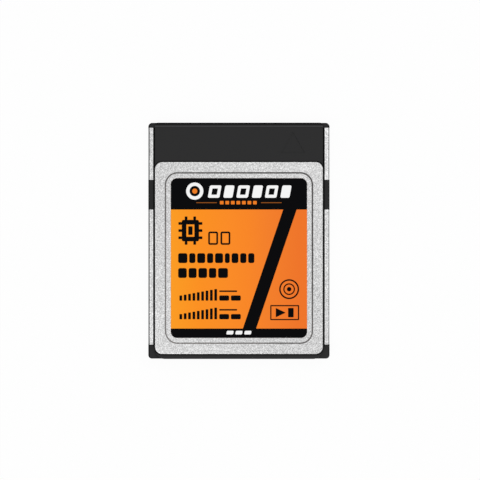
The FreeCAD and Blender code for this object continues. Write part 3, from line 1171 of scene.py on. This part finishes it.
def prism_mesh(name: str, shapes: Sequence[Shape], base: float, top: float) -> bpy.types.Object:
    """Make one object of flat prisms.

    Args:
        name: The object's name.
        shapes: Their outlines in millimetres.
        base: Height of their lower faces in metres.
        top: Height of their upper faces in metres.

    Returns:
        The object, linked to the scene.
    """
    made = bmesh.new()
    for shape in shapes:
        loops = [[made.verts.new((x * MM, y * MM, z)) for x, y in outline]
                 for outline in (shape.outer, shape.hole) if outline for z in (base, top)]
        close_walls(made, loops[0], loops[1])
        if shape.hole:
            close_walls(made, loops[3], loops[2])
            close_walls(made, loops[1], loops[3])
            close_walls(made, loops[2], loops[0])
        else:
            made.faces.new(loops[1])
            made.faces.new(list(reversed(loops[0])))
    bmesh.ops.triangulate(made, faces=[face for face in made.faces if len(face.verts) > 4])
    mesh = bpy.data.meshes.new(name)
    made.to_mesh(mesh)
    made.free()
    piece = bpy.data.objects.new(name, mesh)
    bpy.context.collection.objects.link(piece)
    return piece


def close_walls(made: bmesh.types.BMesh, lower: Sequence[bmesh.types.BMVert],
                upper: Sequence[bmesh.types.BMVert]) -> None:
    """Join two loops of as many points with four-sided faces.

    Args:
        made: The mesh that holds the loops.
        lower: The first loop, anticlockwise seen from outside the wall's top.
        upper: The second loop.
    """
    count = len(lower)
    for i in range(count):
        j = (i + 1) % count
        made.faces.new((lower[i], lower[j], upper[j], upper[i]))


@dataclass(frozen=True)
class ChipSign:
    """A chip seen from above, with legs on all four sides, and two small boxes beside it."""

    left: float = -9.3
    right: float = -6.5
    low: float = -0.1
    high: float = 3.4
    corner: float = 0.3
    wall: float = 0.75
    core_gap: float = 0.3
    leg_length: float = 0.55
    leg_half: float = 0.22
    leg_corner: float = 0.08
    side_legs: int = 3
    end_legs: int = 2
    box_lefts: tuple[float, ...] = (-5.0, -3.0)
    box_width: float = 1.6
    box_low: float = -0.66
    box_high: float = 1.5
    box_wall: float = 0.28

    def shapes(self) -> list[Shape]:
        """Return the chip, its legs and the boxes.

        Returns:
            The shapes.
        """
        inset = self.wall + self.core_gap
        chip = box_line(self.left, self.right, self.low, self.high, self.corner, self.wall)
        core = bar(self.left + inset, self.right - inset, self.low + inset, self.high - inset)
        boxes = [box_line(x, x + self.box_width, self.box_low, self.box_high, self.corner, self.box_wall)
                 for x in self.box_lefts]
        return [chip, core, *self.legs(), *boxes]

    def legs(self) -> list[Shape]:
        """Return the legs at the chip's sides, then those at its ends.

        Returns:
            The shapes.
        """
        reach, half, corner = self.leg_length, self.leg_half, self.leg_corner
        shapes = []
        for y in middles(self.low, self.high, self.side_legs):
            shapes += [bar(x, x + reach, y - half, y + half, corner) for x in (self.left - reach, self.right)]
        for x in middles(self.left, self.right, self.end_legs):
            shapes += [bar(x - half, x + half, y, y + reach, corner) for y in (self.low - reach, self.high)]
        return shapes


@dataclass(frozen=True)
class BlockRow:
    """A row of plain blocks of several widths."""

    low: float
    widths: tuple[float, ...]
    left: float = -9.89
    height: float = 1.6
    gap: float = 0.3
    corner: float = 0.3

    def shapes(self) -> list[Shape]:
        """Return the blocks, from the left.

        Returns:
            The shapes.
        """
        shapes = []
        x = self.left
        for width in self.widths:
            shapes.append(bar(x, x + width, self.low, self.low + self.height, self.corner))
            x += width + self.gap
        return shapes


@dataclass(frozen=True)
class Meter:
    """A meter of rising bars, with a thin line and two short bars beside it."""

    low: float
    left: float = -9.68
    bars: int = 9
    pitch: float = 0.71
    width: float = 0.44
    height: float = 0.85
    rise: float = 0.13
    corner: float = 0.08
    line: Span = (-3.2, -0.3)
    line_levels: Span = (1.42, 1.66)
    short_bars: tuple[Span, Span] = ((-3.2, -1.6), (-1.3, 0.3))
    short_corner: float = 0.2

    def shapes(self) -> list[Shape]:
        """Return the rising bars, the line and the short bars.

        Returns:
            The shapes.
        """
        base = self.low
        shapes = []
        for i in range(self.bars):
            x = self.left + i * self.pitch
            shapes.append(bar(x, x + self.width, base, base + self.height + i * self.rise, self.corner))
        low, high = self.line_levels
        shapes.append(bar(*self.line, base + low, base + high, self.corner))
        shapes += [bar(*ends, base, base + self.height, self.short_corner) for ends in self.short_bars]
        return shapes


@dataclass(frozen=True)
class LensSign:
    """A lens seen from the front: two rings, given by radius and line, and a dot."""

    centre: Point = (8.17, -7.88)
    rings: tuple[tuple[float, float], ...] = ((1.62, 0.24), (0.95, 0.2))
    dot: float = 0.36

    def shapes(self) -> list[Shape]:
        """Return the rings and the dot."""
        return [*(ring(self.centre, radius, line) for radius, line in self.rings),
                disc(self.centre, self.dot)]


@dataclass(frozen=True)
class PlaySign:
    """An outlined box that holds a triangle and a bar."""

    sides: Span = (5.1, 9.79)
    ends: Span = (-12.92, -10.47)
    corner: float = 0.12
    line: float = 0.19
    inner_ends: Span = (-12.46, -10.94)
    triangle: Span = (6.0, 7.6)
    side_bar: Span = (8.0, 8.9)

    def shapes(self) -> list[Shape]:
        """Return the box, the triangle and the bar.

        Returns:
            The shapes.
        """
        low, high = self.inner_ends
        back, tip = self.triangle
        return [box_line(*self.sides, *self.ends, self.corner, self.line),
                Shape(((back, low), (tip, (low + high) / 2), (back, high))),
                bar(*self.side_bar, low, high)]


@dataclass(frozen=True)
class HeaderSigns:
    """The header's signs: a ring round a dot, slanted blocks, and dashes between two thin lines."""

    centre: Point = (-7.19, 8.08)
    radius: float = 1.4
    ring_line: float = 0.55
    dot: float = 0.42
    blocks: int = 6
    block_left: float = -4.9
    block_pitch: float = 2.32
    block_ends: Span = (6.99, 9.01)
    slant: float = 0.18
    hollow_width: float = 1.9
    hollow_line: float = 0.5
    solid_inset: float = 0.2
    solid_corner: float = 0.25
    dashes: int = 7
    dash_left: float = -3.1
    dash_pitch: float = 0.9
    dash_width: float = 0.6
    dash_ends: Span = (5.92, 6.48)
    dash_corner: float = 0.08
    lines: tuple[Span, Span] = ((-6.94, -3.6), (3.6, 6.96))
    line_ends: Span = (6.13, 6.26)
    line_corner: float = 0.02

    def white_shapes(self) -> list[Shape]:
        """Return the ring and the slanted blocks, hollow and solid in turn.

        Returns:
            The shapes.
        """
        shapes = [ring(self.centre, self.radius, self.ring_line)]
        inset = self.solid_inset
        for i in range(self.blocks):
            left = self.block_left + i * self.block_pitch
            right = left + self.hollow_width
            if i % 2:
                shapes.append(bar(left + inset, right - inset, *self.block_ends,
                                  self.solid_corner, self.slant))
            else:
                shapes.append(slanted_frame(left, right, *self.block_ends, self.hollow_line, self.slant))
        return shapes

    def accent_shapes(self) -> list[Shape]:
        """Return the dashes and the dot.

        Returns:
            The shapes.
        """
        lefts = [self.dash_left + i * self.dash_pitch for i in range(self.dashes)]
        dashes = [bar(x, x + self.dash_width, *self.dash_ends, self.dash_corner) for x in lefts]
        return [*dashes, disc(self.centre, self.dot)]

    def fine_shapes(self) -> list[Shape]:
        """Return the two thin lines beside the dashes."""
        return [bar(*ends, *self.line_ends, self.line_corner) for ends in self.lines]


@dataclass(frozen=True)
class FooterSign:
    """Three short slanted bars on the footer."""

    lefts: tuple[float, ...] = (-2.0, -0.55, 0.9)
    width: float = 1.1
    ends: Span = (-15.25, -14.65)
    corner: float = 0.15
    slant: float = 0.2

    def shapes(self) -> list[Shape]:
        """Return the bars."""
        return [bar(x, x + self.width, *self.ends, self.corner, self.slant) for x in self.lefts]


@dataclass
class Label:
    """The printed label: a thin sheet with black bands, a slanted stripe and plain signs."""

    corner: float = 1.0
    ink: float = 0.012
    header_line: float = 5.08
    footer_line: float = -14.29
    stripe_top: Span = (7.2, 9.4)
    stripe_bottom: Span = (0.64, 2.8)
    chip: ChipSign = ChipSign()
    rows: tuple[BlockRow, BlockRow] = (
        BlockRow(-3.63, (1.5, 1.0, 1.3, 1.0, 1.3, 0.8, 1.1, 1.0, 1.0)),
        BlockRow(-6.05, (1.4, 1.3, 1.4, 1.2, 1.6)))
    meters: tuple[Meter, Meter] = (Meter(-9.75), Meter(-12.78))
    lens: LensSign = LensSign()
    play: PlaySign = PlaySign()
    header: HeaderSigns = HeaderSigns()
    footer: FooterSign = FooterSign()
    white: Ink = Ink(srgb(252, 252, 252))
    black: Ink = Ink(srgb(6, 6, 8))
    accent: Ink = Ink(srgb(243, 128, 36))
    dim_accent: Ink = Ink(srgb(150, 84, 30))
    outline: tuple[Point, ...] = field(init=False)
    low: Vector = field(init=False)
    high: Vector = field(init=False)

    def __post_init__(self) -> None:
        """Take the sheet's place from the label piece of the model."""
        self.low, self.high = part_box("label")
        self.outline = rounded_outline(self.low.x / MM, self.high.x / MM, self.low.y / MM,
                                       self.high.y / MM, self.corner, 10)

    def build(self) -> None:
        """Make the sheet and its print."""
        sheet = prism_mesh("label_sheet", [Shape(self.outline)], self.low.z, self.high.z)
        sheet.data.materials.append(OrangeField().material("orange field"))
        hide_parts("label")
        first = self.high.z + self.ink * MM
        second = first + self.ink * MM
        white_shapes = self.header.white_shapes() + self.footer.shapes()
        prints = (
            ("label_black_print", self.black_shapes(), self.high.z, first, self.black),
            ("label_white_print", white_shapes, first, second, self.white),
            ("label_accent_print", self.header.accent_shapes(), first, second, self.accent),
            ("label_fine_print", self.header.fine_shapes(), first, second, self.dim_accent))
        pieces = [sheet]
        for name, shapes, base, top, ink in prints:
            piece = prism_mesh(name, shapes, base, top)
            piece.data.materials.append(ink.material(name.replace("_", " ")))
            pieces.append(piece)
        for piece in pieces:
            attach(piece, BODY)
            LOG.info("%s: %d faces", piece.name, len(piece.data.polygons))

    def black_shapes(self) -> list[Shape]:
        """Return the black bands, the stripe and the black signs on the orange field.

        Returns:
            The shapes.
        """
        bands = [Shape(clipped(self.outline, (0, -1), -self.header_line)),
                 Shape(clipped(self.outline, (0, 1), self.footer_line))]
        left, right = self.stripe_bottom
        top_left, top_right = self.stripe_top
        stripe = Shape(((left, self.footer_line), (right, self.footer_line),
                        (top_right, self.header_line), (top_left, self.header_line)))
        signs = (self.chip, *self.rows, *self.meters, self.lens, self.play)
        return [*bands, stripe, *(shape for sign in signs for shape in sign.shapes())]


@dataclass
class Studio:
    """The white floor, the soft lamps and the camera straight above the card."""

    lens: float = 100.0
    sensor: float = 36.0
    pixels: float = 480.0
    pixels_per_mm: float = 6.147
    card_middle: Point = (238.93, 240.75)
    floor_size: float = 3.0
    floor_drop: float = 0.00001
    floor_glow: float = 0.95
    paper: Colour = (0.86, 0.86, 0.86)
    surround: Colour = (0.8, 0.8, 0.8)
    ambient: float = 0.71
    lamp_size: float = 0.24
    key_place: tuple[float, float, float] = (0.12, 0.16, 0.44)
    key_share: float = 0.22
    fill_place: tuple[float, float, float] = (-0.12, -0.17, 0.44)
    fill_share: float = 0.21

    def build(self) -> None:
        """Make the floor, the light and the camera."""
        self.floor()
        self.world()
        self.lamp("key_lamp", Vector(self.key_place), self.key_share)
        self.lamp("fill_lamp", Vector(self.fill_place), self.fill_share)
        self.camera()

    def floor(self) -> None:
        """Make the floor, white to the camera and still holding a faint shadow."""
        made = bmesh.new()
        bmesh.ops.create_grid(made, x_segments=1, y_segments=1, size=self.floor_size / 2)
        mesh = bpy.data.meshes.new("floor")
        made.to_mesh(mesh)
        made.free()
        floor = bpy.data.objects.new("floor", mesh)
        bpy.context.collection.objects.link(floor)
        floor.location.z = cad_low.z - self.floor_drop
        shader = Shader("white floor")
        ray = shader.node("ShaderNodeLightPath")
        seen = Expr(shader, ray.outputs["Is Camera Ray"]) + Expr(shader, ray.outputs["Is Glossy Ray"])
        paper = shader.node("ShaderNodeBsdfDiffuse", inputs={"Color": self.paper})
        glow = shader.node("ShaderNodeEmission", inputs={"Color": (1.0, 1.0, 1.0), "Strength": 1.0})
        mixed = shader.node("ShaderNodeMixShader", inputs={
            0: seen.clamped() * self.floor_glow, 1: paper.outputs[0], 2: glow.outputs[0]})
        shader.node("ShaderNodeOutputMaterial", inputs={"Surface": mixed.outputs[0]})
        floor.data.materials.append(shader.material)

    def world(self) -> None:
        """Light the card evenly, with a paler surround for the camera and for reflections."""
        surround = Surround("studio")
        bpy.context.scene.world = surround.world
        ray = surround.node("ShaderNodeLightPath")
        seen = Expr(surround, ray.outputs["Is Camera Ray"])
        seen = seen.at_least(Expr(surround, ray.outputs["Is Glossy Ray"]))
        strength = seen * (1.0 - self.ambient) + self.ambient
        glow = surround.node("ShaderNodeBackground", inputs={"Color": self.surround, "Strength": strength})
        surround.node("ShaderNodeOutputWorld", inputs={"Surface": glow.outputs[0]})

    def lamp(self, name: str, place: Vector, share: float) -> None:
        """Add a soft square lamp that lights a level face to a share of plain white.

        Args:
            name: The lamp's name.
            place: Where it hangs, in metres.
            share: How bright it makes a level white face.
        """
        data = bpy.data.lights.new(name, "AREA")
        data.shape = "SQUARE"
        data.size = self.lamp_size
        distance = place.length
        data.energy = share * math.pi ** 2 * distance ** 2 / (place.z / distance)
        lamp = bpy.data.objects.new(name, data)
        lamp.location = place
        lamp.rotation_mode = "QUATERNION"
        lamp.rotation_quaternion = place.to_track_quat("Z", "Y")
        bpy.context.collection.objects.link(lamp)

    def camera(self) -> None:
        """Hang the camera straight above, with the card where the photograph has it."""
        data = bpy.data.cameras.new("camera")
        data.lens = self.lens
        data.sensor_width = self.sensor
        data.clip_start, data.clip_end = 0.01, 10.0
        width = self.pixels / self.pixels_per_mm * MM
        camera = bpy.data.objects.new("camera", data)
        aside = (self.pixels / 2 - self.card_middle[0]) / self.pixels_per_mm * MM
        ahead = (self.card_middle[1] - self.pixels / 2) / self.pixels_per_mm * MM
        camera.location = (aside, ahead, cad_high.z + width * self.lens / self.sensor)
        bpy.context.collection.objects.link(camera)
        bpy.context.scene.camera = camera
        bpy.context.scene.view_settings.view_transform = "Standard"


def main() -> None:
    """Build the looks of the card in order."""
    logging.basicConfig(level=logging.INFO, format="%(name)s %(message)s")
    for part in (Casing(), Electronics(), Connector(), Label(), Studio()):
        part.build()
        LOG.info("%s done", type(part).__name__)


if __name__ == "__main__":
    main()
